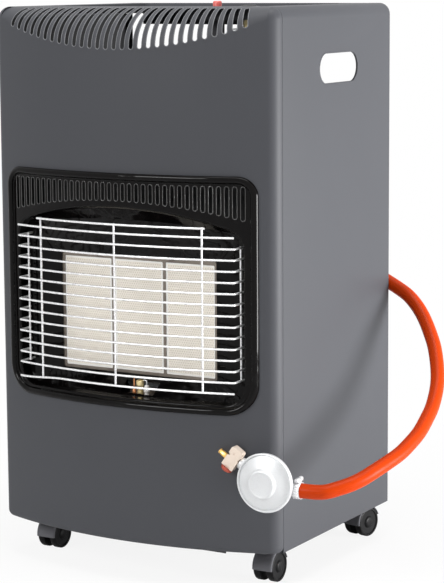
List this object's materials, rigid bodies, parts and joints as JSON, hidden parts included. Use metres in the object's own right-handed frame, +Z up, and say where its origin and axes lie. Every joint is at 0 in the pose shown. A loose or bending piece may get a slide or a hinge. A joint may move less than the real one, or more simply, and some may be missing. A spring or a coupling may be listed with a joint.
{
  "type": "portable gas cabinet heater",
  "caption": "Bowed sheet-metal cabinet heater on casters, with a ceramic gas burner behind a wire guard, slotted top, rear cover, and a hose with its regulator.",
  "frame": {"origin": "middle of the footprint of the cabinet with its guard and casters, on the floor; the hose and regulator are not counted", "axes": "+Z up, the front with the fire towards -Y, +X towards the side with the knob and the hose"},
  "size_m": [0.5518, 0.3875, 0.7415],
  "materials": {
    "paint": "satin",
    "enamel": "gloss",
    "steel": "satin",
    "dull_steel": "matte",
    "chrome": "bright",
    "ceramic": "matte",
    "brass": "satin",
    "black_plastic": "matte",
    "red_plastic": "gloss",
    "rubber": "satin",
    "porcelain": "gloss"
  },
  "bodies": {
    "cabinet": {"front_panel": "paint", "side_panel_left": "paint", "side_panel_right": "paint", "top_deck": "paint", "base_plate": "paint", "fire_surround": "enamel", "firebox": "enamel", "heat_shield": "steel", "regulator_bonnet": "steel", "burner_frame": "dull_steel", "burner_plenum": "dull_steel", "pilot_bracket": "dull_steel", "thermocouple": "dull_steel", "gas_valve": "dull_steel", "regulator_body": "dull_steel", "caster_front_left_mount": "dull_steel", "caster_front_right_mount": "dull_steel", "caster_rear_left_mount": "dull_steel", "caster_rear_right_mount": "dull_steel", "wire_guard": "chrome", "hose_clamp_inlet": "chrome", "hose_clamp_regulator": "chrome", "plaque_left": "ceramic", "plaque_centre": "ceramic", "plaque_right": "ceramic", "injector_rail": "brass", "pilot_burner": "brass", "burner_pipe": "brass", "pilot_pipe": "brass", "hose_elbow": "brass", "regulator_inlet": "brass", "igniter_body": "black_plastic", "ignition_lead": "black_plastic", "regulator_cap": "red_plastic", "gas_hose": "rubber", "spark_electrode": "porcelain"},
    "knob": {"valve_spindle": "brass", "control_knob": "black_plastic"},
    "igniter_button": {"igniter_button": "red_plastic"},
    "rear_cover": {"rear_cover": "paint"},
    "caster_front_left": {"caster_front_left_housing": "black_plastic", "caster_front_left_axle": "steel"},
    "caster_front_left_wheel_left": {"caster_front_left_wheel_left": "black_plastic"},
    "caster_front_left_wheel_right": {"caster_front_left_wheel_right": "black_plastic"},
    "caster_front_right": {"caster_front_right_housing": "black_plastic", "caster_front_right_axle": "steel"},
    "caster_front_right_wheel_left": {"caster_front_right_wheel_left": "black_plastic"},
    "caster_front_right_wheel_right": {"caster_front_right_wheel_right": "black_plastic"},
    "caster_rear_left": {"caster_rear_left_housing": "black_plastic", "caster_rear_left_axle": "steel"},
    "caster_rear_left_wheel_left": {"caster_rear_left_wheel_left": "black_plastic"},
    "caster_rear_left_wheel_right": {"caster_rear_left_wheel_right": "black_plastic"},
    "caster_rear_right": {"caster_rear_right_housing": "black_plastic", "caster_rear_right_axle": "steel"},
    "caster_rear_right_wheel_left": {"caster_rear_right_wheel_left": "black_plastic"},
    "caster_rear_right_wheel_right": {"caster_rear_right_wheel_right": "black_plastic"}
  },
  "joints": [
    {"name": "knob_turn", "type": "hinge", "parent": "cabinet", "child": "knob", "pos_m": [0.13, -0.06986, 0.722], "axis": [0, 0, 1], "range_deg": [0, 210]},
    {"name": "igniter_press", "type": "slide", "parent": "cabinet", "child": "igniter_button", "axis": [0, 0, -1], "range_m": [0, 0.0055], "stiffness_N_per_m": 600, "springref_m": -0.002},
    {"name": "cover_lift", "type": "slide", "parent": "cabinet", "child": "rear_cover", "axis": [0, 0, 1], "range_m": [0, 0.014]},
    {"name": "caster_front_left_swivel", "type": "hinge", "parent": "cabinet", "child": "caster_front_left", "pos_m": [-0.168, -0.10486, 0.045], "axis": [0, 0, 1], "continuous": true},
    {"name": "caster_front_left_spin_left", "type": "hinge", "parent": "caster_front_left", "child": "caster_front_left_wheel_left", "pos_m": [-0.168, -0.08886, 0.02], "axis": [1, 0, 0], "continuous": true},
    {"name": "caster_front_left_spin_right", "type": "hinge", "parent": "caster_front_left", "child": "caster_front_left_wheel_right", "pos_m": [-0.168, -0.08886, 0.02], "axis": [1, 0, 0], "continuous": true},
    {"name": "caster_front_right_swivel", "type": "hinge", "parent": "cabinet", "child": "caster_front_right", "pos_m": [0.168, -0.10486, 0.045], "axis": [0, 0, 1], "continuous": true},
    {"name": "caster_front_right_spin_left", "type": "hinge", "parent": "caster_front_right", "child": "caster_front_right_wheel_left", "pos_m": [0.168, -0.08886, 0.02], "axis": [1, 0, 0], "continuous": true},
    {"name": "caster_front_right_spin_right", "type": "hinge", "parent": "caster_front_right", "child": "caster_front_right_wheel_right", "pos_m": [0.168, -0.08886, 0.02], "axis": [1, 0, 0], "continuous": true},
    {"name": "caster_rear_left_swivel", "type": "hinge", "parent": "cabinet", "child": "caster_rear_left", "pos_m": [-0.168, 0.15314, 0.045], "axis": [0, 0, 1], "continuous": true},
    {"name": "caster_rear_left_spin_left", "type": "hinge", "parent": "caster_rear_left", "child": "caster_rear_left_wheel_left", "pos_m": [-0.17023, 0.16898, 0.02], "axis": [0.9903, 0.1392, 0], "continuous": true},
    {"name": "caster_rear_left_spin_right", "type": "hinge", "parent": "caster_rear_left", "child": "caster_rear_left_wheel_right", "pos_m": [-0.17023, 0.16898, 0.02], "axis": [0.9903, 0.1392, 0], "continuous": true},
    {"name": "caster_rear_right_swivel", "type": "hinge", "parent": "cabinet", "child": "caster_rear_right", "pos_m": [0.168, 0.15314, 0.045], "axis": [0, 0, 1], "continuous": true},
    {"name": "caster_rear_right_spin_left", "type": "hinge", "parent": "caster_rear_right", "child": "caster_rear_right_wheel_left", "pos_m": [0.17149, 0.16876, 0.02], "axis": [0.9759, -0.2181, 0], "continuous": true},
    {"name": "caster_rear_right_spin_right", "type": "hinge", "parent": "caster_rear_right", "child": "caster_rear_right_wheel_right", "pos_m": [0.17149, 0.16876, 0.02], "axis": [0.9759, -0.2181, 0], "continuous": true}
  ]
}
